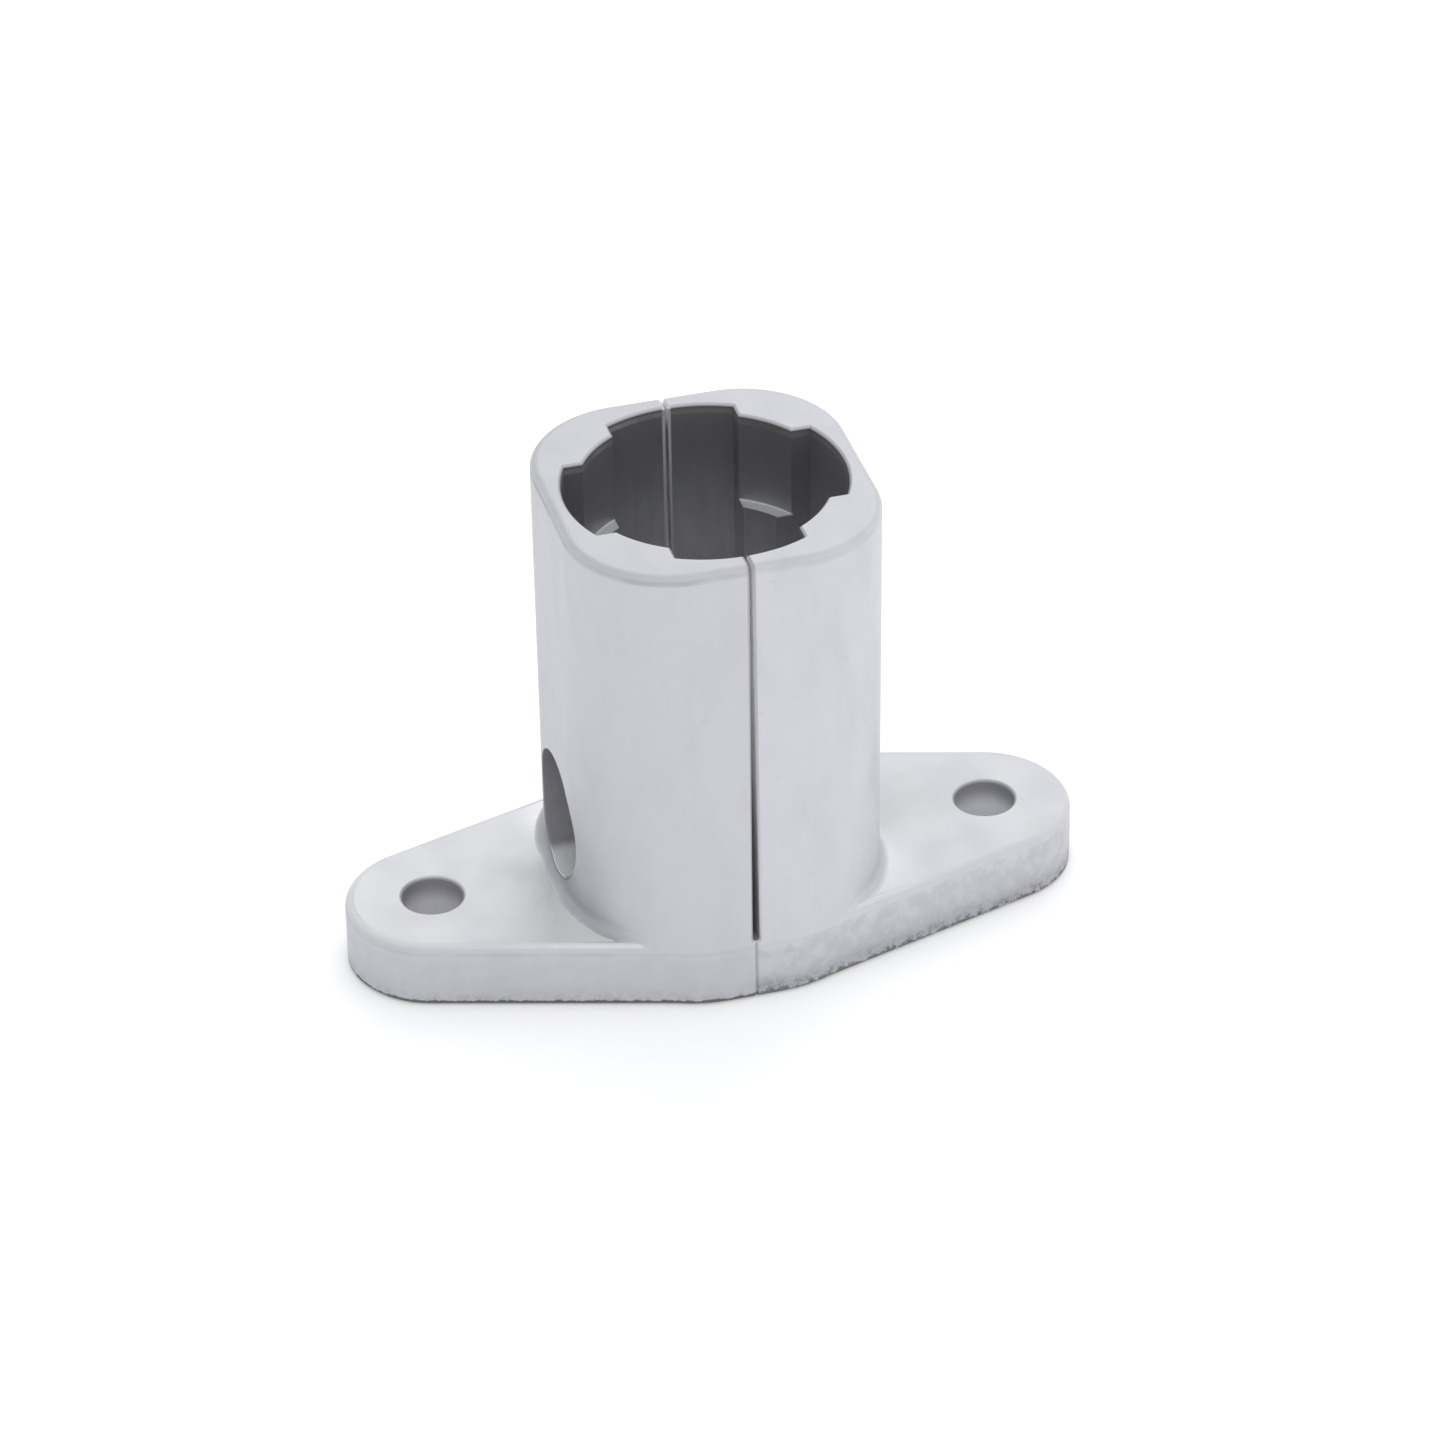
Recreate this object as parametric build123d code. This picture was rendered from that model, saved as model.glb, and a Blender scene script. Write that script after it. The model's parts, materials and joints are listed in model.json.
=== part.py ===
"""Stanchion base: a split deck socket that clamps a 25 mm tube.

Millimetres, +Z up. The origin is the middle of the footprint, on the deck
plane. X runs from ear to ear, and the plane x = 0 parts the two castings.
"""
from build123d import *
import math
import os

# Footprint
HEIGHT = 58.0                 # deck to socket rim
EAR_PITCH = 66.0              # between the deck hole axes
EAR_RADIUS = 10.0
DECK_HOLE_RADIUS = 3.5        # clearance for an M6 deck screw
HOLE_EDGE_BREAK = 0.3
FLANGE_HEIGHT = 8.2
FLANGE_EDGE_RADIUS = 1.1
UNDERSIDE_EDGE_BREAK = 0.4

# Column: a rounded square that narrows and gets squarer towards the rim
COLUMN_HALF_WIDTH = 18.35     # at the deck, along X
COLUMN_HALF_DEPTH = 18.9      # at the deck, along Y
COLUMN_CORNER_RADIUS = 15.2   # at the deck
COLUMN_CORNER_RADIUS_RIM = 11.9
DRAFT = 0.4                   # degrees, of the four flat sides
RIM_RADIUS = 1.0
ROOT_RADIUS = 1.2             # hollow corner between the column and the flange
FLANGE_INSET = 0.15           # keeps the flange's long sides just inside the column

# Socket: four lands on the diagonals, four wide flutes on the axes
TUBE_RADIUS = 12.5
LOWER_LAND_RADIUS = TUBE_RADIUS + 0.1
UPPER_LAND_RADIUS = 14.1
LEDGE_DEPTH = 11.3            # rim down to the step between the lands
FLUTE_RADIUS = 16.0
FLUTE_HALF_WIDTH = 7.3
SOCKET_DEPTH = 30.0
SOCKET_EDGE_BREAK = 0.3

# Slit between the castings: they touch beside the flange and part above it
SLIT_HALF_GAP_RIM = 0.15
SLIT_HALF_GAP_ROOT = 0.4
SEAM_EDGE_BREAK = 0.25

# Clamp bolt along X, under the socket, with a counterbore in each casting
BOLT_HEIGHT = 16.5
BOLT_HOLE_RADIUS = 3.3
COUNTERBORE_RADIUS = 7.5
COUNTERBORE_FLOOR = 7.0       # from the split to the face that takes the washer
MOUTH_RADIUS = 0.15
BOLT_RADIUS = 3.0
BOLT_LENGTH = 25.0
BOLT_TIP_CHAMFER = 0.6
HEX_ACROSS_FLATS = 10.0
HEX_EDGE_CHAMFER = 0.5
BOLT_HEAD_HEIGHT = 4.0
WASHER_RADIUS = 6.0
WASHER_HOLE_RADIUS = 3.2
WASHER_THICKNESS = 1.6
WASHER_EDGE_BREAK = 0.2
NUT_BORE_RADIUS = BOLT_RADIUS + 0.05
NUT_HEIGHT = 6.0
NUT_HEX_HEIGHT = 4.4          # the rest is the round collar
NUT_COLLAR_RADIUS = 4.6
NUT_COLLAR_RADIUS_END = 0.35
NUT_COLLAR_LIP = 0.4          # rolled over the insert
NUT_LIP_BORE_RADIUS = 3.5
INSERT_OUTER_RADIUS = 4.0
INSERT_LENGTH = 1.4

CUT = 100.0                   # longer than the part, for cutting tools
NEAR = 0.05                   # for picking edges by where they are

SOCKET_FLOOR = HEIGHT - SOCKET_DEPTH
LEDGE_HEIGHT = HEIGHT - LEDGE_DEPTH
HEAD_SEAT = COUNTERBORE_FLOOR + WASHER_THICKNESS


def column_section(height):
    """Half width, half depth and corner radius of the column at this height."""
    inset = height * math.tan(math.radians(DRAFT))
    squarer = (COLUMN_CORNER_RADIUS - COLUMN_CORNER_RADIUS_RIM) * height / HEIGHT
    return COLUMN_HALF_WIDTH - inset, COLUMN_HALF_DEPTH - inset, COLUMN_CORNER_RADIUS - squarer


def column():
    sections = []
    for height in (0, HEIGHT):
        half_width, half_depth, corner = column_section(height)
        sections.append(Pos(0, 0, height) * RectangleRounded(2 * half_width, 2 * half_depth, corner))
    body = loft(sections, ruled=True)
    body = chamfer(body.edges().group_by(Axis.Z)[0], UNDERSIDE_EDGE_BREAK)
    return fillet(body.edges().group_by(Axis.Z)[-1], RIM_RADIUS)


def flange_outline():
    """Lozenge: each ear runs by a straight side into the column's rounded corners."""
    half_width, half_depth, corner = (size - FLANGE_INSET for size in column_section(FLANGE_HEIGHT))
    corner_x = half_width - corner
    corner_y = half_depth - corner
    ear_x = EAR_PITCH / 2

    # Direction, from +X, of the normal to the line that touches both arcs
    distance = math.hypot(ear_x - corner_x, corner_y)
    slope = math.atan2(-corner_y, ear_x - corner_x)
    normal = math.degrees(slope + math.acos((corner - EAR_RADIUS) / distance))

    quarter_ear = CenterArc((ear_x, 0), EAR_RADIUS, 0, normal)
    quarter_corner = CenterArc((corner_x, corner_y), corner, normal, 90 - normal)
    quarter = [
        quarter_ear,
        Line(quarter_ear @ 1, quarter_corner @ 0),
        quarter_corner,
        Line(quarter_corner @ 1, (0, half_depth)),
    ]
    half = quarter + [edge.mirror(Plane.YZ) for edge in quarter]
    return make_face(half + [edge.mirror(Plane.XZ) for edge in half])


def flange():
    plate = extrude(flange_outline(), FLANGE_HEIGHT)
    plate = fillet(plate.edges().group_by(Axis.Z)[-1], FLANGE_EDGE_RADIUS)
    return chamfer(plate.edges().group_by(Axis.Z)[0], UNDERSIDE_EDGE_BREAK)


def in_flange_corner(edge):
    """True for the edges where the column rises from the flange's top."""
    centre = edge.center()
    level = abs(centre.Z - FLANGE_HEIGHT) < NEAR and edge.bounding_box().size.Z < NEAR
    return level and abs(centre.X) < COLUMN_HALF_WIDTH


def blank():
    """Column and flange as one solid, before the socket and the split."""
    body = column() + flange()
    return fillet(body.edges().filter_by(in_flange_corner), ROOT_RADIUS)


def socket():
    """Cutting tool: stepped lands and straight flutes, open at the rim."""
    above = SOCKET_DEPTH + 1
    lower = Pos(0, 0, SOCKET_FLOOR) * extrude(Circle(LOWER_LAND_RADIUS), above)
    upper = Pos(0, 0, LEDGE_HEIGHT) * extrude(Circle(UPPER_LAND_RADIUS), LEDGE_DEPTH + 1)
    cross = Rectangle(2 * FLUTE_HALF_WIDTH, CUT) + Rectangle(CUT, 2 * FLUTE_HALF_WIDTH)
    flutes = Pos(0, 0, SOCKET_FLOOR) * extrude(cross & Circle(FLUTE_RADIUS), above)
    return lower + upper + flutes


def split_side():
    """Everything on the -X side of the parting face. The slit ends in a half round."""
    bend = math.sqrt(0.5) * SLIT_HALF_GAP_ROOT
    seam_top = (0, FLANGE_HEIGHT - SLIT_HALF_GAP_ROOT)
    slit_root = (-SLIT_HALF_GAP_ROOT, FLANGE_HEIGHT)
    slit_rim = (-SLIT_HALF_GAP_RIM, HEIGHT)
    profile = [
        Line((0, -1), seam_top),
        ThreePointArc(seam_top, (-bend, FLANGE_HEIGHT - bend), slit_root),
        Polyline(slit_root, slit_rim, (-SLIT_HALF_GAP_RIM, HEIGHT + 1), (-CUT, HEIGHT + 1), (-CUT, -1), (0, -1)),
    ]
    return extrude(Plane.XZ * make_face(profile), CUT / 2, both=True)


def on_socket_rim(edge):
    centre = edge.center()
    level = abs(centre.Z - HEIGHT) < NEAR and edge.bounding_box().size.Z < NEAR
    return level and math.hypot(centre.X, centre.Y) < FLUTE_RADIUS + NEAR


def on_outer_seam(edge):
    """True for the upright edges where the parting face meets the outside."""
    centre = edge.center()
    return abs(centre.X) < SLIT_HALF_GAP_ROOT + NEAR and abs(centre.Y) > FLUTE_RADIUS + RIM_RADIUS


def on_counterbore_mouth(edge):
    """True for the curved edges where the counterbore breaks through the column."""
    if edge.geom_type == GeomType.LINE or edge.center().X > -HEAD_SEAT:
        return False
    points = [edge @ 0, edge @ 0.5]
    return all(abs(math.hypot(p.Y, p.Z - BOLT_HEIGHT) - COUNTERBORE_RADIUS) < NEAR for p in points)


def on_deck_hole(edge):
    return edge.geom_type == GeomType.CIRCLE and abs(edge.radius - DECK_HOLE_RADIUS) < NEAR


def along_x(start, outline, length):
    """Extrude an outline along the bolt's axis, from x = start towards +X."""
    return Pos(start, 0, BOLT_HEIGHT) * Rot(0, 90, 0) * extrude(outline, length)


def casting():
    """The half with the -X ear."""
    body = blank() - socket()
    body = chamfer(body.edges().filter_by(on_socket_rim), SOCKET_EDGE_BREAK)
    body = body & split_side()
    body = chamfer(body.edges().filter_by(on_outer_seam), SEAM_EDGE_BREAK)

    body -= along_x(-CUT, Circle(BOLT_HOLE_RADIUS), 2 * CUT)
    body -= along_x(-COUNTERBORE_FLOOR - CUT, Circle(COUNTERBORE_RADIUS), CUT)
    body = fillet(body.edges().filter_by(on_counterbore_mouth), MOUTH_RADIUS)

    body -= Pos(-EAR_PITCH / 2, 0, -1) * extrude(Circle(DECK_HOLE_RADIUS), HEIGHT)
    return chamfer(body.edges().filter_by(on_deck_hole), HOLE_EDGE_BREAK)


def washer(start):
    ring = along_x(start, Circle(WASHER_RADIUS) - Circle(WASHER_HOLE_RADIUS), WASHER_THICKNESS)
    rims = [edge for edge in ring.edges().filter_by(GeomType.CIRCLE) if edge.radius > WASHER_HOLE_RADIUS + NEAR]
    return chamfer(rims, WASHER_EDGE_BREAK)


def hexagon(start, length, chamfered_ends):
    """A hexagonal bar whose corners are turned off at the ends named by their X order."""
    flats = RegularPolygon(HEX_ACROSS_FLATS / 2, 6, major_radius=False)
    corners = HEX_ACROSS_FLATS / math.sqrt(3)
    turned = along_x(start, Circle(corners), length)
    ends = turned.edges().filter_by(GeomType.CIRCLE).sort_by(Axis.X)
    turned = chamfer([ends[i] for i in chamfered_ends], HEX_EDGE_CHAMFER)
    return along_x(start, flats, length) & turned


def clamp_bolt():
    """Hex bolt with its head in the left counterbore."""
    shank = along_x(-HEAD_SEAT, Circle(BOLT_RADIUS), BOLT_LENGTH)
    tip = shank.edges().filter_by(GeomType.CIRCLE).sort_by(Axis.X)[-1]
    shank = chamfer(tip, BOLT_TIP_CHAMFER)
    return shank + hexagon(-HEAD_SEAT - BOLT_HEAD_HEIGHT, BOLT_HEAD_HEIGHT, [0])


def insert_span():
    """First and last x of the nylon ring, just inside the nut's rolled lip."""
    last = HEAD_SEAT + NUT_HEIGHT - NUT_COLLAR_LIP
    return last - INSERT_LENGTH, last


def lock_nut():
    """Hex nut with a round collar that holds the nylon ring."""
    body = hexagon(HEAD_SEAT, NUT_HEX_HEIGHT, [0, -1])
    collar = along_x(HEAD_SEAT, Circle(NUT_COLLAR_RADIUS), NUT_HEIGHT)
    outer_rim = collar.edges().filter_by(GeomType.CIRCLE).sort_by(Axis.X)[-1]
    body += fillet(outer_rim, NUT_COLLAR_RADIUS_END)
    first, last = insert_span()
    body -= along_x(HEAD_SEAT - 1, Circle(NUT_BORE_RADIUS), CUT)
    body -= along_x(first, Circle(INSERT_OUTER_RADIUS), last - first)
    return body - along_x(first, Circle(NUT_LIP_BORE_RADIUS), CUT)


def lock_nut_insert():
    first, last = insert_span()
    return along_x(first, Circle(INSERT_OUTER_RADIUS) - Circle(NUT_BORE_RADIUS), last - first)


def main():
    left = casting()
    pieces = {
        "left_half": left,
        "right_half": Rot(0, 0, 180) * left,
        "clamp_bolt": clamp_bolt(),
        "bolt_washer": washer(-HEAD_SEAT),
        "nut_washer": washer(COUNTERBORE_FLOOR),
        "lock_nut": lock_nut(),
        "lock_nut_insert": lock_nut_insert(),
    }
    os.makedirs("parts", exist_ok=True)
    for name, piece in pieces.items():
        export_step(piece, f"parts/{name}.step")


main()
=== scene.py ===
import json
import math

import bmesh
import bpy
from mathutils import Matrix, Vector


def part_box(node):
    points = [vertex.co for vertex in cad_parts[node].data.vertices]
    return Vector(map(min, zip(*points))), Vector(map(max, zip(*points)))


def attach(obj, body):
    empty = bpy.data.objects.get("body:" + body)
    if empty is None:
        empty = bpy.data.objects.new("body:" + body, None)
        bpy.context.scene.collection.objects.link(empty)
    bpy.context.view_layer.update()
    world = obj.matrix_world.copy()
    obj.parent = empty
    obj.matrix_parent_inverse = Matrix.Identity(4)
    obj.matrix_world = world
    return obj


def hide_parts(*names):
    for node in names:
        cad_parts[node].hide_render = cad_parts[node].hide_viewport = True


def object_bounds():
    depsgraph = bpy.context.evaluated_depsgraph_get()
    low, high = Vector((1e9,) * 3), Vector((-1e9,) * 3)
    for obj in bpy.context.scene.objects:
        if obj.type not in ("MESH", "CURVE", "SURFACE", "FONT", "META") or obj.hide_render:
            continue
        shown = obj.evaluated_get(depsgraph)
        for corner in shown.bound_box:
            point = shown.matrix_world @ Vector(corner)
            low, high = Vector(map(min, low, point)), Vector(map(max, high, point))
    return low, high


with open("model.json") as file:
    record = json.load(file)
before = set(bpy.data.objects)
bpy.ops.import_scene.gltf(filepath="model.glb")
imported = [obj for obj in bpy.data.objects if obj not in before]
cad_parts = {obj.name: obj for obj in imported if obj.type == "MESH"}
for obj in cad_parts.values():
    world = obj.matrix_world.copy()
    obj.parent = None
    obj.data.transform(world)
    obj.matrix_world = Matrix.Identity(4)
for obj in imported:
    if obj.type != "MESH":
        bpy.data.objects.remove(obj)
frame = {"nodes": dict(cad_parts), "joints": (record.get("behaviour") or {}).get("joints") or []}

MM = 0.001

# Camera: where it stands round the object, and how it is aimed
CAMERA_AZIMUTH = math.radians(-15.38)
CAMERA_ELEVATION = math.radians(34.48)
CAMERA_ROLL = math.radians(-0.92)
CAMERA_DISTANCE = 688.6 * MM
CAMERA_LENS = 152.1
AIM_RIGHT = 1.29 * MM
AIM_UP = -2.68 * MM

# Light: an even world, a little weaker from the left, and one soft lamp behind the object
WORLD_COLOR = (0.97, 0.98, 1.0)
WORLD_LEFT = 0.745
WORLD_RIGHT = 1.09
KEY_PLACE = (0.3, 0.7, 0.9)
KEY_AIM = (0, 0, 0.03)
KEY_SIZE = 0.9
KEY_POWER = 2
FLOOR_SIZE = 3.0
FLOOR_GLOW = 0.22

# The parts' own measures, read from the frame
cad_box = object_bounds()
deck_level = cad_box[0].z
rim_level = cad_box[1].z
bolt_level = next(j for j in frame["joints"] if j["name"] == "bolt_turn")["pos_m"][2]
head_end, tip_end = (corner.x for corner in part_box("clamp_bolt"))
head_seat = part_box("bolt_washer")[0].x
counterbore_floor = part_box("nut_washer")[0].x

# Metric thread M6 x 1, and its hexagon head
THREAD_PITCH = 1.0 * MM
THREAD_MAJOR = 2.97 * MM
THREAD_MINOR = 2.40 * MM
THREAD_LENGTH = 18.0 * MM
THREAD_RUNOUT = 1.5 * MM
THREAD_ROOT = 0.12            # flat share of a turn at the root, and then the share of its flanks
THREAD_FLANKS = 0.63
TIP_CHAMFER = 0.65 * MM
SHANK_RADIUS = 2.95 * MM
HEAD_APOTHEM = 4.95 * MM
HEAD_CORNER = 0.35 * MM
HEAD_TOP_CIRCLE = 4.55 * MM
HEAD_CHAMFER = math.radians(30)
UNDERHEAD_RADIUS = 4.6 * MM
UNDERHEAD_STEP = 0.25 * MM
HEAD_DISH = 0.12 * MM
HEAD_DISH_FLOOR = 0.80        # shares of the top circle, where the dish's rise starts and ends
HEAD_DISH_RIM = 0.88
SOFT_EDGE = 0.06 * MM
END_CENTRE = 0.6 * MM
POINTS_AROUND = 96
RINGS_PER_TURN = 10

# Where the castings' own finishes and their painted light and shade change, in millimetres like everything
# inside a Shader
RIM = rim_level / MM
BOLT_AXIS = bolt_level / MM
SEAT = counterbore_floor / MM     # where the counterbores end, to either side of the slit
SOCKET_RADIUS = 16.2
SOCKET_FLOOR = 28.0
SOCKET_LIGHT_BELOW = 36.0         # the socket's skin darkens from here, partly as painted shade
SOCKET_DARK_ABOVE = 55.0          # to here
LEDGE_LEVEL = 46.7
LEDGE_INNER = 12.7
LEDGE_OUTER = 14.2
RIM_LINE_LEVEL = 57.1
FLANGE_TOP = 8.2
FLANGE_EDGE = 1.1
# reach of the painted shade in the column's root
ROOT_SHADE_REACH = 7.0
SLIT_WALL = 0.45
COLUMN_SIDE = 17.0                # the column's outer skin at the counterbores is farther out than this
COUNTERBORE_RADIUS = 7.55
COUNTERBORE_DARK = 6.9            # how far below the bolt's axis the counterbore's painted shade reaches
COUNTERBORE_RINGS = 0.22          # pitch of the tool marks on its floor
EAR_X = 33.0
DECK_HOLE_RADIUS = 3.6

# Shades of the castings: their own colours, and painted light and shade
DULL_SKIN = (0.540, 0.540, 0.575)
FAIR_SKIN = (0.665, 0.665, 0.690)
BANDS = (0.53, 0.53, 0.56)
STAINS = (0.52, 0.52, 0.55)
GRAIN = (0.45, 0.45, 0.48)
# painted shade on the flange's sides
FLANGE_SIDE_SHADE = (0.50, 0.50, 0.535)
BLOTCHES = (0.42, 0.42, 0.45)
# painted highlight along the flange's top edge
EDGE_HIGHLIGHT = (0.84, 0.84, 0.85)
# edges brightened partly by wear and partly by painted highlight
WORN_AND_HIGHLIT = (0.74, 0.74, 0.76)
RIM_FACE = (0.50, 0.50, 0.52)
# painted shade in the corners
CORNER_SHADE = (0.36, 0.36, 0.38)
# the socket's skin, partly as-cast and partly painted shade
SOCKET_LIGHT = (0.60, 0.60, 0.62)
SOCKET_DARK = (0.20, 0.20, 0.205)
SOCKET_STREAKS = (0.16, 0.16, 0.17)
# painted highlight on the ledge's top face
LEDGE_HIGHLIGHT = (0.85, 0.85, 0.86)
# painted light and shade in the slit
SLIT_FRONT_LOW = (0.55, 0.55, 0.56)
SLIT_FRONT_HIGH = (0.92, 0.92, 0.93)
SLIT_REAR_LOW = (0.30, 0.30, 0.31)
SLIT_REAR_HIGH = (0.95, 0.95, 0.95)
SLIT_EDGE_FRONT = (0.50, 0.50, 0.52)
SLIT_EDGE_REAR = (0.66, 0.66, 0.68)
# painted shade lines at the foot of the roundings
SHADE_LINE = (0.44, 0.44, 0.47)
# painted shade and painted light in the counterbore
COUNTERBORE_SHADE_DARK = (0.32, 0.32, 0.345)
COUNTERBORE_SHADE_PALE = (0.43, 0.43, 0.46)
COUNTERBORE_LIT_LOW = (0.88, 0.88, 0.90)
COUNTERBORE_EDGE_SHADE = (0.24, 0.24, 0.26)
# painted light deep in the deck holes and painted shade at their mouths
DECK_HOLE_LIT_DEEP = (0.82, 0.82, 0.84)
DECK_HOLE_MOUTH_SHADE = (0.38, 0.38, 0.41)
ROUGH_FOOT = (0.38, 0.38, 0.41)


def add_camera():
    """Long lens from the front left, above the object, rolled a little."""
    a, e = CAMERA_AZIMUTH, CAMERA_ELEVATION
    back = Vector((math.sin(a) * math.cos(e), -math.cos(a) * math.cos(e), math.sin(e)))
    level_right = Vector((math.cos(a), math.sin(a), 0))
    level_up = back.cross(level_right)
    right = level_right * math.cos(CAMERA_ROLL) + level_up * math.sin(CAMERA_ROLL)
    up = back.cross(right)
    aim = Vector((0, 0, (deck_level + rim_level) / 2)) + right * AIM_RIGHT + up * AIM_UP
    data = bpy.data.cameras.new("camera")
    data.lens = CAMERA_LENS
    data.clip_start = 0.01
    camera = bpy.data.objects.new("camera", data)
    bpy.context.scene.collection.objects.link(camera)
    place = Matrix((right, up, back)).transposed().to_4x4()
    place.translation = aim + back * CAMERA_DISTANCE
    camera.matrix_world = place
    bpy.context.scene.camera = camera


def add_light(name, place, aim, size, power):
    data = bpy.data.lights.new(name, "AREA")
    data.size = size
    data.energy = power
    light = bpy.data.objects.new(name, data)
    bpy.context.scene.collection.objects.link(light)
    light.location = place
    light.rotation_euler = (Vector(aim) - Vector(place)).to_track_quat("-Z", "Y").to_euler()


def add_world(color, left, right):
    """Even studio light, a little weaker from the left than from the right."""
    world = bpy.data.worlds.new("world")
    bpy.context.scene.world = world
    world.use_nodes = True
    tree = world.node_tree
    background = tree.nodes["Background"]
    background.inputs["Color"].default_value = (*color, 1)
    direction = tree.nodes.new("ShaderNodeTexCoord").outputs["Generated"]
    split = tree.nodes.new("ShaderNodeSeparateXYZ")
    tree.links.new(direction, split.inputs[0])
    strength = tree.nodes.new("ShaderNodeMapRange")
    strength.inputs["From Min"].default_value = -1
    strength.inputs["From Max"].default_value = 1
    strength.inputs["To Min"].default_value = left
    strength.inputs["To Max"].default_value = right
    tree.links.new(split.outputs["X"], strength.inputs["Value"])
    tree.links.new(strength.outputs[0], background.inputs["Strength"])


class Shader:
    """One material's node tree, with short names for the nodes used here. Lengths are in millimetres."""

    def __init__(self, name, metallic):
        self.material = bpy.data.materials.new(name)
        self.material.use_nodes = True
        self.tree = self.material.node_tree
        self.surface = self.tree.nodes["Principled BSDF"]
        self.surface.inputs["Metallic"].default_value = metallic
        coordinates = self.tree.nodes.new("ShaderNodeTexCoord")
        self.place = self.scaled(coordinates.outputs["Object"], (1000, 1000, 1000))
        split = self.tree.nodes.new("ShaderNodeSeparateXYZ")
        self.link(self.place, split.inputs[0])
        self.x, self.y, self.z = split.outputs
        facing = self.tree.nodes.new("ShaderNodeSeparateXYZ")
        self.link(coordinates.outputs["Normal"], facing.inputs[0])
        self.facing_up = facing.outputs["Z"]
        self.facing_x = self.math("ABSOLUTE", facing.outputs["X"])
        self.height = None
        self.color = None

    def link(self, output, socket):
        self.tree.links.new(output, socket)

    def feed(self, socket, value):
        if isinstance(value, bpy.types.NodeSocket):
            self.link(value, socket)
        elif isinstance(value, tuple):
            socket.default_value = value if len(value) == len(socket.default_value) else (*value, 1)
        else:
            socket.default_value = value

    def scaled(self, vector, scale):
        node = self.tree.nodes.new("ShaderNodeVectorMath")
        node.operation = "MULTIPLY"
        self.link(vector, node.inputs[0])
        node.inputs[1].default_value = scale
        return node.outputs[0]

    def math(self, operation, *values):
        node = self.tree.nodes.new("ShaderNodeMath")
        node.operation = operation
        for socket, value in zip(node.inputs, values):
            self.feed(socket, value)
        return node.outputs[0]

    def times(self, first, *others):
        """Product of any number of values."""
        product = first
        for value in others:
            product = self.math("MULTIPLY", product, value)
        return product

    def noise(self, per_mm, detail=2.0, stretch=(1, 1, 1), roughness=0.5):
        """Grey noise from 0 to 1 with about this many features a millimetre."""
        node = self.tree.nodes.new("ShaderNodeTexNoise")
        self.link(self.scaled(self.place, stretch), node.inputs["Vector"])
        node.inputs["Scale"].default_value = per_mm
        node.inputs["Detail"].default_value = detail
        node.inputs["Roughness"].default_value = roughness
        return node.outputs["Fac"]

    def ramp(self, value, start, end, low=0.0, high=1.0):
        """Low before start, high after end, and a smooth step between."""
        node = self.tree.nodes.new("ShaderNodeMapRange")
        node.interpolation_type = "SMOOTHSTEP"
        self.feed(node.inputs["Value"], value)
        node.inputs["From Min"].default_value = start
        node.inputs["From Max"].default_value = end
        node.inputs["To Min"].default_value = low
        node.inputs["To Max"].default_value = high
        return node.outputs[0]

    def within(self, value, start, end, soft):
        """1 between start and end, with soft sides."""
        return self.times(self.ramp(value, start - soft, start), self.ramp(value, end, end + soft, 1.0, 0.0))

    def distance(self, a, b):
        """Length of the vector with these two components."""
        return self.math("SQRT", self.math("ADD", self.times(a, a), self.times(b, b)))

    def from_bolt(self):
        """Distance from the bolt's axis."""
        return self.distance(self.y, self.math("SUBTRACT", self.z, BOLT_AXIS))

    def blend(self, amount, first, second):
        node = self.tree.nodes.new("ShaderNodeMix")
        node.data_type = "RGBA"
        self.feed(node.inputs["Factor"], amount)
        colors = [socket for socket in node.inputs if socket.type == "RGBA"]
        self.feed(colors[0], first)
        self.feed(colors[1], second)
        return next(socket for socket in node.outputs if socket.type == "RGBA")

    def paint(self, amount, shade):
        """Lays this shade over the colour so far."""
        self.color = self.blend(amount, self.color, shade)

    def edges(self, radius):
        """0 on flat faces, rising to 1 at corners sharper than this radius in millimetres."""
        bevel = self.tree.nodes.new("ShaderNodeBevel")
        bevel.samples = 6
        bevel.inputs["Radius"].default_value = radius * MM
        face = self.tree.nodes.new("ShaderNodeNewGeometry")
        dot = self.tree.nodes.new("ShaderNodeVectorMath")
        dot.operation = "DOT_PRODUCT"
        self.link(bevel.outputs[0], dot.inputs[0])
        self.link(face.outputs["Normal"], dot.inputs[1])
        return self.ramp(dot.outputs["Value"], 0.75, 0.995, 1.0, 0.0)

    def hollow(self, reach):
        """0 on open faces, rising to 1 in corners whose walls are within this reach in millimetres."""
        node = self.tree.nodes.new("ShaderNodeAmbientOcclusion")
        node.samples = 8
        node.only_local = True
        node.inputs["Distance"].default_value = reach * MM
        return self.ramp(node.outputs["AO"], 0.45, 0.98, 1.0, 0.0)

    def bump(self, height, depth, strength=1.0):
        """Adds relief: height from 0 to 1 stands for this depth in millimetres."""
        node = self.tree.nodes.new("ShaderNodeBump")
        node.inputs["Distance"].default_value = depth * MM
        self.feed(node.inputs["Strength"], strength)
        self.link(height, node.inputs["Height"])
        if self.height is not None:
            self.link(self.height, node.inputs["Normal"])
        self.height = node.outputs[0]

    def finish(self, roughness):
        self.feed(self.surface.inputs["Base Color"], self.color)
        self.feed(self.surface.inputs["Roughness"], roughness)
        if self.height is not None:
            self.link(self.height, self.surface.inputs["Normal"])
        return self.material


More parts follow.
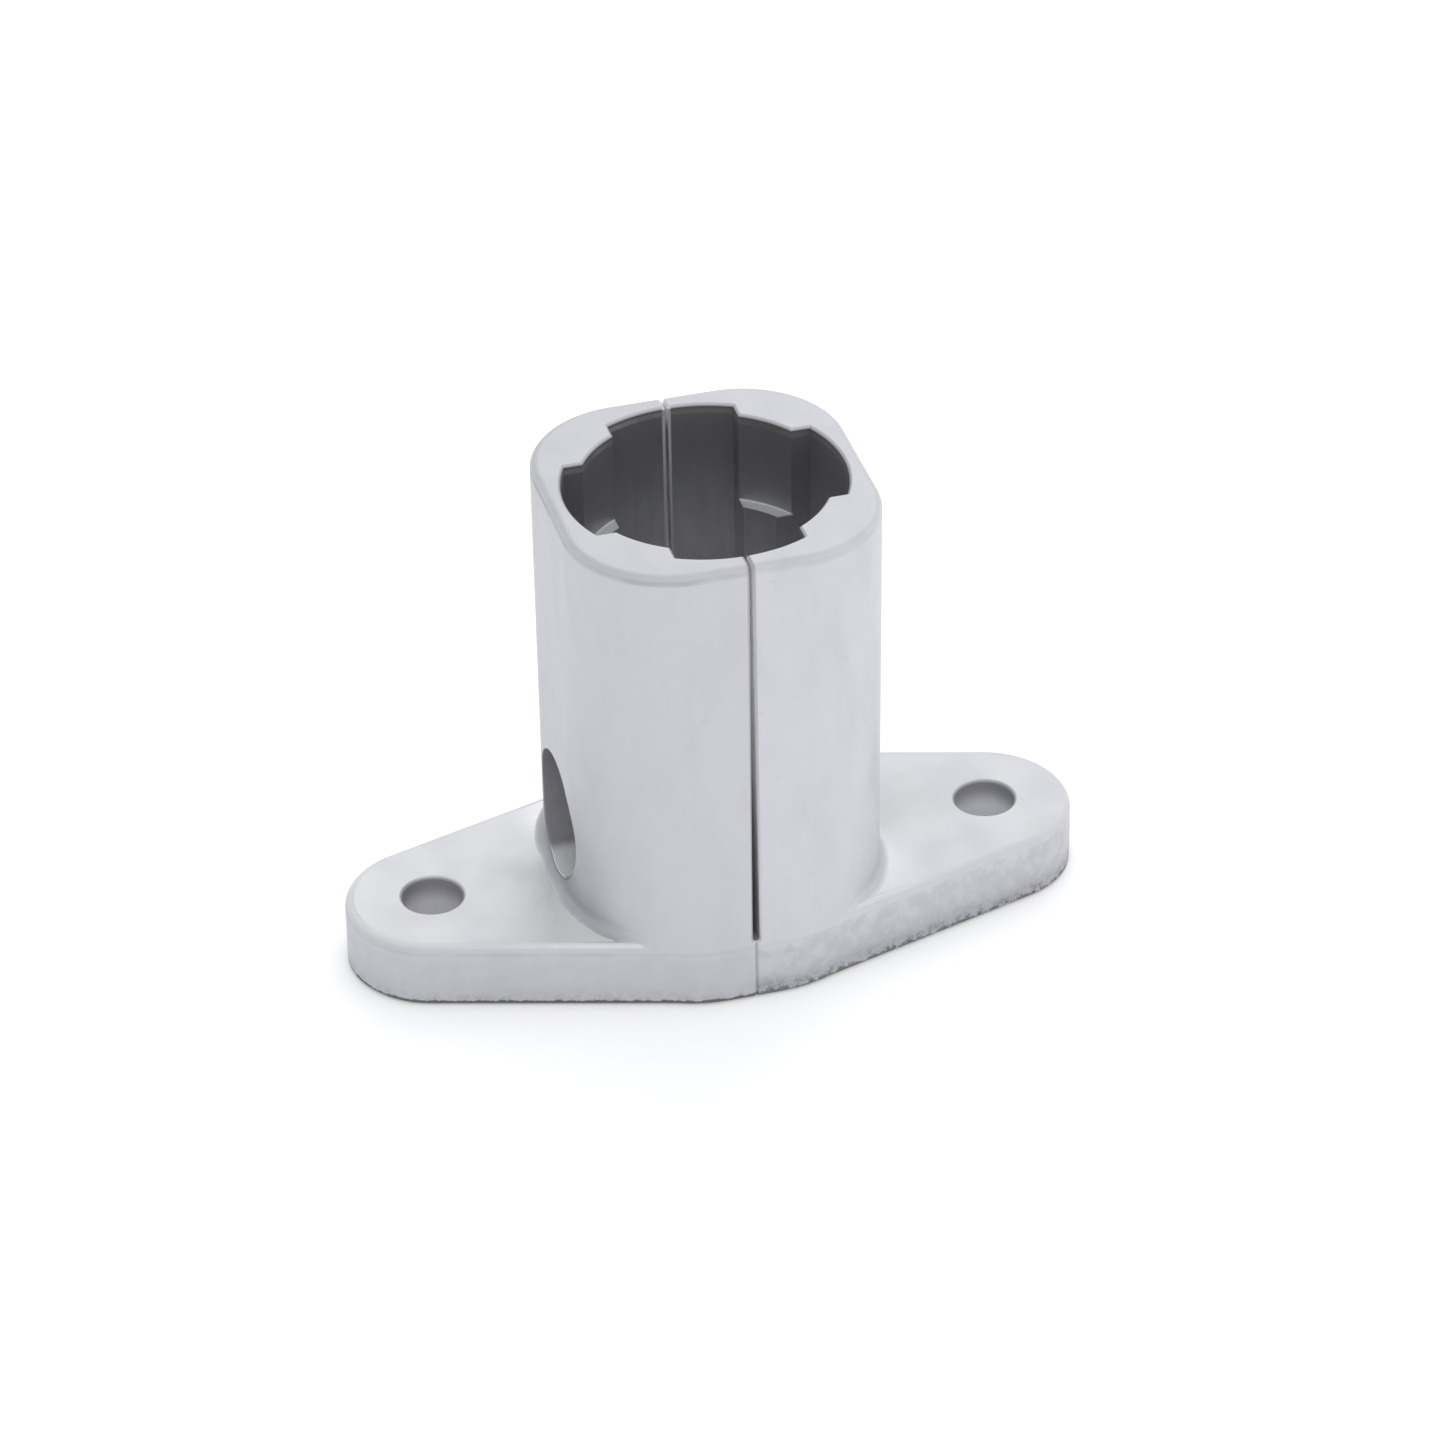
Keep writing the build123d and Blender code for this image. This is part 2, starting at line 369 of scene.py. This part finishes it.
class Casting(Shader):
    """Fine blasted cast aluminium: a dark socket, partly as-cast and partly painted shade, turned seats,
    drilled holes with painted light and shade, edges brightened partly by wear and partly by painted
    highlight, and painted shade in its corners.

    tone scales the skin's lightness, ear_top_light is the painted light on the flange's top, and the other
    values say how strongly, or in what shade, each painted shade, painted highlight, painted shadow and
    rough patch shows.
    """

    def __init__(self, name, tone, ear_top_light, corner_shade_strength, rim_line, edge_highlight_strength, rough_foot, foot_shadow_and_pits):
        super().__init__(name, metallic=0.6)
        self.mottle = self.noise(0.16, detail=3.0)
        self.stain = self.noise(0.55, detail=4.0, roughness=0.6)
        self.grain = self.noise(5.0, detail=3.0, roughness=0.65)
        self.coarse = self.noise(1.2, detail=4.0, roughness=0.7)
        self.outward = self.math("ABSOLUTE", self.x)
        self.bore = self.from_bolt()
        self.low_bore = self.ramp(self.z, BOLT_AXIS - 6, BOLT_AXIS - 2, 1.0, 0.0)
        self.column_side = self.ramp(self.outward, COLUMN_SIDE - 0.5, COLUMN_SIDE + 0.5)
        self.steep = self.ramp(self.facing_up, 0.98, 0.998, 1.0, 0.0)
        self.corner = self.hollow(ROOT_SHADE_REACH)
        wear_and_highlight_here = self.ramp(self.bore, COUNTERBORE_RADIUS + 0.3, COUNTERBORE_RADIUS + 1.3)
        self.worn_and_highlit = self.times(self.edges(0.5), self.ramp(self.stain, 0.30, 0.65, 0.35, 0.9), wear_and_highlight_here)

        self.paint_skin(tone)
        self.paint_flange(ear_top_light, edge_highlight_strength, rough_foot)
        # edges painted brighter, partly as wear and partly as painted highlight
        self.paint(self.worn_and_highlit, WORN_AND_HIGHLIT)
        self.paint(self.times(self.ramp(self.z, RIM - 0.4, RIM - 0.1), 0.25), RIM_FACE)
        self.paint_corner_shade(corner_shade_strength)
        self.paint_socket()
        self.paint_slit()
        self.paint_lines(rim_line)
        self.paint_counterbore()
        self.paint_deck_hole(tone)
        self.add_relief(rough_foot)
        self.paint_foot(rough_foot, foot_shadow_and_pits)
        satin = self.ramp(self.mottle, 0.3, 0.7, 0.50, 0.62)
        self.finish(self.math("SUBTRACT", satin, self.times(self.worn_and_highlit, 0.12)))

    def paint_skin(self, tone):
        dull, fair = (tuple(channel * tone for channel in shade) for shade in (DULL_SKIN, FAIR_SKIN))
        self.color = self.blend(self.mottle, dull, fair)
        bands = self.noise(0.22, detail=3.0, stretch=(1, 1, 0.35))
        self.paint(self.ramp(bands, 0.45, 0.70, 0.0, 0.25), BANDS)
        self.paint(self.ramp(self.stain, 0.58, 0.80, 0.0, 0.35), STAINS)
        self.paint(self.ramp(self.grain, 0.60, 0.85, 0.0, 0.25), GRAIN)

    def paint_flange(self, ear_top_light, edge_highlight_strength, rough_foot):
        """The flange: painted light on top, painted shade on its sides with blotches, and a painted
        highlight on the edge between.
        """
        # painted shade on the flange's sides
        sides = self.ramp(self.z, FLANGE_TOP - 2.5, FLANGE_TOP - FLANGE_EDGE, 1.0, 0.0)
        self.paint(self.times(sides, 0.35), FLANGE_SIDE_SHADE)
        blotches = self.ramp(self.stain, 0.40, 0.58, 0.0, 0.30 * rough_foot)
        below_edge = self.ramp(self.z, FLANGE_TOP - 1.4, FLANGE_TOP - 0.9, 1.0, 0.0)
        self.paint(self.times(blotches, below_edge), BLOTCHES)

        # painted light on the flange's top, lighter in the corners by the column
        low = self.ramp(self.z, FLANGE_TOP + 0.05, FLANGE_TOP + 0.15, 1.0, 0.0)
        upward = self.ramp(self.facing_up, 0.2, 0.9)
        ear_corner_light = tuple(min(0.95, 1.3 * channel) for channel in ear_top_light)
        ear = self.blend(self.times(self.corner, 1.6), ear_top_light, ear_corner_light)
        self.paint(self.times(low, upward, 0.75), ear)

        # painted highlight along the flange's top edge
        below_top = self.ramp(self.z, FLANGE_TOP - 0.08, FLANGE_TOP - 0.02, 1.0, 0.0)
        shoulder = self.times(self.within(self.facing_up, 0.70, 0.95, 0.15), below_top)
        patchy = self.ramp(self.stain, 0.30, 0.65, 0.6 * edge_highlight_strength, 0.9 * edge_highlight_strength)
        near_column = self.ramp(self.outward, 17.0, 30.0, 1.0, 0.35)
        self.paint(self.times(shoulder, patchy, near_column), EDGE_HIGHLIGHT)

    def paint_corner_shade(self, corner_shade_strength):
        """Painted shade in the root of the column and round the lower half of the counterbore's mouth."""
        above_flange = self.ramp(self.z, FLANGE_TOP - 0.05, FLANGE_TOP)
        in_root = self.times(self.corner, self.ramp(self.facing_up, 0.05, 0.40, 1.0, 1.9))
        in_root = self.math("MINIMUM", in_root, 1.0)
        low_wall = self.within(self.z, FLANGE_TOP, FLANGE_TOP + 4, 5.0)
        root = self.times(in_root, self.steep, low_wall, above_flange)
        round_bore = self.ramp(self.bore, COUNTERBORE_RADIUS, COUNTERBORE_RADIUS + 2.5, 0.7, 0.0)
        mouth = self.times(round_bore, self.low_bore, self.steep, self.column_side, above_flange)
        patchy = self.ramp(self.stain, 0.25, 0.75, corner_shade_strength, 0.75 * corner_shade_strength)
        self.paint(self.times(self.math("MAXIMUM", root, mouth), patchy), CORNER_SHADE)

    def paint_socket(self):
        """Dark skin with streaks along the socket, partly as-cast and partly painted shade darkest near the
        rim, and a painted highlight on the step between the lands.
        """
        radius = self.distance(self.x, self.y)
        inside = self.ramp(radius, SOCKET_RADIUS - 0.1, SOCKET_RADIUS + 0.15, 1.0, 0.0)
        socket = self.times(inside, self.within(self.z, SOCKET_FLOOR - 0.3, RIM - 0.35, 0.25))
        # painted shade, darkest towards the rim
        height = self.ramp(self.z, SOCKET_LIGHT_BELOW, SOCKET_DARK_ABOVE)
        skin = self.blend(height, SOCKET_LIGHT, SOCKET_DARK)
        streaks = self.noise(0.9, detail=3.0, stretch=(1, 1, 0.12))
        skin = self.blend(self.ramp(streaks, 0.35, 0.70, 0.0, 0.12), skin, SOCKET_STREAKS)
        self.paint(socket, skin)

        # painted highlight on the ledge's top face
        ledge = self.within(self.z, LEDGE_LEVEL - 0.1, LEDGE_LEVEL + 0.1, 0.1)
        self.paint(self.times(ledge, socket, self.within(radius, LEDGE_INNER, LEDGE_OUTER, 0.1)), LEDGE_HIGHLIGHT)

    def paint_slit(self):
        """Painted light and shade in the slit: its walls are painted lighter towards the rim, and its broken
        edges are painted in a dull shade.
        """
        between = self.ramp(self.outward, SLIT_WALL, SLIT_WALL + 0.1, 1.0, 0.0)
        slit = self.times(between, self.ramp(self.z, FLANGE_TOP - 0.6, FLANGE_TOP - 0.2))
        rear = self.ramp(self.y, -1.0, 1.0)
        # painted light towards the rim, painted shade low down
        front_wall = self.blend(self.ramp(self.z, 5.0, 46.0), SLIT_FRONT_LOW, SLIT_FRONT_HIGH)
        rear_wall = self.blend(self.ramp(self.z, 54.0, 57.0), SLIT_REAR_LOW, SLIT_REAR_HIGH)
        wall = self.blend(rear, front_wall, rear_wall)
        edge = self.blend(rear, SLIT_EDGE_FRONT, SLIT_EDGE_REAR)
        self.paint(slit, self.blend(self.ramp(self.facing_x, 0.85, 0.97), edge, wall))

    def paint_lines(self, rim_line):
        """Faint painted shade lines where the rounded rim and the flange's rounded edge begin, standing in
        for the dark reflection at the foot of each rounding.
        """
        rim = self.within(self.z, RIM_LINE_LEVEL - 0.15, RIM_LINE_LEVEL + 0.15, 0.3)
        flange = self.within(self.z, FLANGE_TOP - 1.25, FLANGE_TOP - 1.05, 0.3)
        lines = self.math("MAXIMUM", rim, self.times(flange, 0.5))
        patchy = self.ramp(self.mottle, 0.35, 0.6, 0.4 * rim_line, rim_line)
        self.paint(self.times(lines, patchy), SHADE_LINE)

    def paint_counterbore(self):
        """Painted shade on the upper wall and painted light on the lower wall, with a painted shade line on
        the lower edge of its mouth.
        """
        wall = self.ramp(self.bore, COUNTERBORE_RADIUS - 0.04, COUNTERBORE_RADIUS, 1.0, 0.0)
        past_seat = self.ramp(self.outward, SEAT - 0.1, SEAT + 0.1)
        before_ear = self.ramp(self.outward, COLUMN_SIDE + 3.0, COLUMN_SIDE + 3.5, 1.0, 0.0)
        counterbore_shade = self.blend(self.stain, COUNTERBORE_SHADE_DARK, COUNTERBORE_SHADE_PALE)
        dark_end = BOLT_AXIS - COUNTERBORE_DARK
        # painted light low in the counterbore, painted shade above
        skin = self.blend(self.ramp(self.z, dark_end - 0.3, dark_end + 0.4), COUNTERBORE_LIT_LOW, counterbore_shade)
        self.paint(self.times(wall, past_seat, before_ear), skin)
        mouth = self.within(self.bore, COUNTERBORE_RADIUS, COUNTERBORE_RADIUS + 0.12, 0.03)
        self.paint(self.times(mouth, self.column_side, self.low_bore), COUNTERBORE_EDGE_SHADE)

    def paint_deck_hole(self, tone):
        """Painted shade at the mouth and painted light deeper down."""
        radius = self.distance(self.math("SUBTRACT", self.outward, EAR_X), self.y)
        inside = self.ramp(radius, DECK_HOLE_RADIUS, DECK_HOLE_RADIUS + 0.1, 1.0, 0.0)
        deep = tuple(channel * (2 * tone - 1) for channel in DECK_HOLE_LIT_DEEP)
        skin = self.blend(self.ramp(self.z, 4.5, FLANGE_TOP - 0.8), deep, DECK_HOLE_MOUTH_SHADE)
        self.paint(self.times(inside, self.steep), skin)

    def add_relief(self, rough_foot):
        """Casting skin, tool marks on the counterbore's floor, and a lumpy foot."""
        peel = self.noise(1.3, detail=2.0)
        rings = self.math("SINE", self.times(self.bore, 2 * math.pi / COUNTERBORE_RINGS))
        seat = self.within(self.outward, SEAT - 0.1, SEAT + 0.1, 0.05)
        self.bump(peel, 0.05, 0.6)
        self.bump(self.grain, 0.02, 0.7)
        self.bump(rings, 0.012, seat)
        self.bump(self.coarse, 0.5, self.ramp(self.z, 1.0, 5.5, rough_foot, 0.0))

    def paint_foot(self, rough_foot, foot_shadow_and_pits):
        """Darker and pitted towards the deck, with a ragged painted shadow line at the bottom."""
        self.paint(self.ramp(self.z, 0.5, 4.5, 0.45 * rough_foot, 0.0), ROUGH_FOOT)
        near_deck = self.ramp(self.z, 0.6, 2.6, rough_foot, 0.0)
        pits = self.times(self.ramp(self.coarse, 0.45, 0.60), near_deck)
        raggedness = self.times(self.ramp(self.coarse, 0.30, 0.70, 0.45, -0.45), rough_foot)
        ragged_height = self.math("ADD", self.z, raggedness)
        # painted shadow along the foot, with dark pits
        shadow_and_pits = self.math("MAXIMUM", self.ramp(ragged_height, 0.58, 0.82, 0.9, 0.0), self.times(pits, 0.6))
        self.paint(shadow_and_pits, foot_shadow_and_pits)


def turned_steel(name, color, ring_pitch):
    """Stainless steel with fine rings about the bolt's axis and painted highlights on its corners."""
    s = Shader(name, metallic=1.0)
    smear = s.noise(0.8, detail=3.0)
    dark = tuple(c * 0.82 for c in color)
    light = tuple(min(1.0, c * 1.25) for c in color)
    s.color = s.blend(smear, dark, color)
    # painted highlights on the corners
    s.paint(s.times(s.edges(0.2), 0.7), light)
    wander = s.times(s.noise(2.0), 0.05)
    radius = s.math("ADD", s.from_bolt(), wander)
    rings = s.math("SINE", s.times(radius, 2 * math.pi / ring_pitch))
    scratches = s.noise(9.0, detail=2.0, stretch=(0.15, 1, 1))
    s.bump(rings, 0.004, 0.8)
    s.bump(scratches, 0.006, 0.8)
    return s.finish(s.ramp(smear, 0.3, 0.75, 0.24, 0.42))


def nylon(name):
    """Milky natural nylon, a little cloudy."""
    s = Shader(name, metallic=0.0)
    s.surface.inputs["Subsurface Weight"].default_value = 0.15
    s.surface.inputs["Subsurface Radius"].default_value = (0.0012, 0.0013, 0.0015)
    clouds = s.noise(1.2, detail=2.0)
    s.bump(s.noise(6.0), 0.01, 0.7)
    s.color = s.blend(clouds, (0.70, 0.74, 0.78), (0.82, 0.85, 0.88))
    return s.finish(s.ramp(clouds, 0.3, 0.7, 0.38, 0.5))


def floor_material():
    """White table that glows a little, so that it stays pale round the object's foot."""
    s = Shader("floor", metallic=0.0)
    s.surface.inputs["Emission Color"].default_value = (1, 1, 1, 1)
    s.surface.inputs["Emission Strength"].default_value = FLOOR_GLOW
    cloud = s.noise(0.02, detail=2.0)
    s.color = s.blend(cloud, (0.93, 0.93, 0.93), (0.95, 0.95, 0.95))
    return s.finish(0.9)


def add_floor():
    bpy.ops.mesh.primitive_plane_add(size=FLOOR_SIZE, location=(0, 0, deck_level))
    floor = bpy.context.object
    floor.name = "floor"
    floor.data.materials.append(floor_material())


def hexagon_point(turn):
    """Distance from the axis to a hexagon with rounded corners, in this direction."""
    sixth = math.pi / 3
    off_flat = (turn + sixth / 2) % sixth - sixth / 2
    corner_centre = (HEAD_APOTHEM - HEAD_CORNER) / math.cos(sixth / 2)
    flat = HEAD_APOTHEM / math.cos(off_flat)
    from_corner = sixth / 2 - abs(off_flat)
    across = corner_centre * math.sin(from_corner)
    if across >= HEAD_CORNER:
        return flat
    round_end = corner_centre * math.cos(from_corner) + math.sqrt(HEAD_CORNER**2 - across**2)
    return min(flat, round_end)


def skin_rings(bm, rings):
    """Joins rings of points, all of one length, into a tube of quads."""
    loops = [[bm.verts.new(point) for point in ring] for ring in rings]
    for lower, upper in zip(loops, loops[1:]):
        for i in range(len(lower)):
            j = (i + 1) % len(lower)
            bm.faces.new((lower[i], lower[j], upper[j], upper[i]))
    return loops


def thread_radius(x, turn):
    """Surface of the shank at this place: plain shank, run-out, thread, then the chamfered tip."""
    from_tip = tip_end - x
    depth = THREAD_MAJOR - THREAD_MINOR
    cut = min(1.0, max(0.0, (THREAD_LENGTH - from_tip) / THREAD_RUNOUT))
    phase = (x / THREAD_PITCH - turn / (2 * math.pi)) % 1.0
    profile = min(1.0, max(0.0, (abs(phase - 0.5) * 2 - THREAD_ROOT) / THREAD_FLANKS))
    crest = SHANK_RADIUS + (THREAD_MAJOR - SHANK_RADIUS) * cut
    threaded = crest - depth * cut * (1 - profile)
    tip_limit = THREAD_MAJOR - TIP_CHAMFER + min(from_tip, TIP_CHAMFER)
    return min(threaded, tip_limit)


def bolt_mesh():
    """The whole bolt as one closed skin, from the middle of the head to the tip."""
    turns = [2 * math.pi * i / POINTS_AROUND for i in range(POINTS_AROUND)]

    def ring(x, radius_of):
        points = []
        for turn in turns:
            radius = radius_of(turn)
            points.append((x, radius * math.cos(turn), bolt_level + radius * math.sin(turn)))
        return points

    def chamfered_edge():
        """The head's upper edge, where the 30 degree cone meets the flats."""
        points = []
        for turn in turns:
            radius = hexagon_point(turn)
            drop = max(0.0, radius - HEAD_TOP_CIRCLE) * math.tan(HEAD_CHAMFER)
            points.append((head_end + drop, radius * math.cos(turn), bolt_level + radius * math.sin(turn)))
        return points

    washer_face = head_seat - UNDERHEAD_STEP
    dish = head_end + HEAD_DISH
    rings = [
        ring(dish, lambda t: END_CENTRE),
        ring(dish, lambda t: HEAD_TOP_CIRCLE * HEAD_DISH_FLOOR),
        ring(head_end, lambda t: HEAD_TOP_CIRCLE * HEAD_DISH_RIM),
        ring(head_end, lambda t: HEAD_TOP_CIRCLE - SOFT_EDGE),
        chamfered_edge(),
        ring(washer_face - SOFT_EDGE, hexagon_point),
        ring(washer_face, lambda t: hexagon_point(t) - SOFT_EDGE),
        ring(washer_face, lambda t: UNDERHEAD_RADIUS),
        ring(head_seat, lambda t: UNDERHEAD_RADIUS - SOFT_EDGE),
        ring(head_seat, lambda t: SHANK_RADIUS),
    ]
    start = tip_end - THREAD_LENGTH
    steps = round(THREAD_LENGTH / THREAD_PITCH * RINGS_PER_TURN)
    for i in range(steps + 1):
        x = start + (tip_end - start) * i / steps
        rings.append(ring(x, lambda t: thread_radius(x, t)))
    rings.append(ring(tip_end, lambda t: END_CENTRE))

    bm = bmesh.new()
    loops = skin_rings(bm, rings)
    for loop, x in ((loops[0], dish), (loops[-1], tip_end)):
        centre = bm.verts.new((x, 0, bolt_level))
        for i in range(POINTS_AROUND):
            bm.faces.new((loop[i], loop[(i + 1) % POINTS_AROUND], centre))
    bmesh.ops.recalc_face_normals(bm, faces=bm.faces)
    mesh = bpy.data.meshes.new("threaded_bolt")
    bm.to_mesh(mesh)
    bm.free()
    return mesh


def add_bolt(material):
    bolt = bpy.data.objects.new("threaded_bolt", bolt_mesh())
    bpy.context.scene.collection.objects.link(bolt)
    bolt.data.materials.append(material)
    bolt.data.shade_smooth()
    bpy.context.view_layer.objects.active = bolt
    bolt.data.set_sharp_from_angle(angle=math.radians(28))
    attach(bolt, "bolt")
    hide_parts("clamp_bolt")


def dress(name, material):
    mesh = frame["nodes"][name].data
    mesh.materials.clear()
    mesh.materials.append(material)


add_camera()
add_floor()
add_world(WORLD_COLOR, WORLD_LEFT, WORLD_RIGHT)
add_light("key", KEY_PLACE, KEY_AIM, KEY_SIZE, KEY_POWER)
bpy.context.scene.view_settings.view_transform = "Standard"

steel = turned_steel("bolt_steel", (0.56, 0.55, 0.54), 0.18)
# The left casting gets stronger painted shade in its corners and brighter painted highlights on its flange
# edge, the right one a lighter tone, with a rough foot
left_casting = Casting("cast_aluminium_left", tone=1.0, ear_top_light=(0.73, 0.73, 0.745), corner_shade_strength=1.0,
                       rim_line=0.8, edge_highlight_strength=1.0, rough_foot=0.3, foot_shadow_and_pits=(0.10, 0.10, 0.11))
right_casting = Casting("cast_aluminium_right", tone=1.06, ear_top_light=(0.655, 0.655, 0.67), corner_shade_strength=0.4,
                        rim_line=0.25, edge_highlight_strength=0.4, rough_foot=1.0, foot_shadow_and_pits=(0.17, 0.17, 0.18))
dress("left_half", left_casting.material)
dress("right_half", right_casting.material)
dress("bolt_washer", turned_steel("washer_steel", (0.60, 0.59, 0.58), 0.12))
dress("nut_washer", turned_steel("nut_washer_steel", (0.60, 0.59, 0.58), 0.12))
dress("lock_nut", turned_steel("nut_steel", (0.52, 0.52, 0.52), 0.25))
dress("lock_nut_insert", nylon("nylon"))
add_bolt(steel)
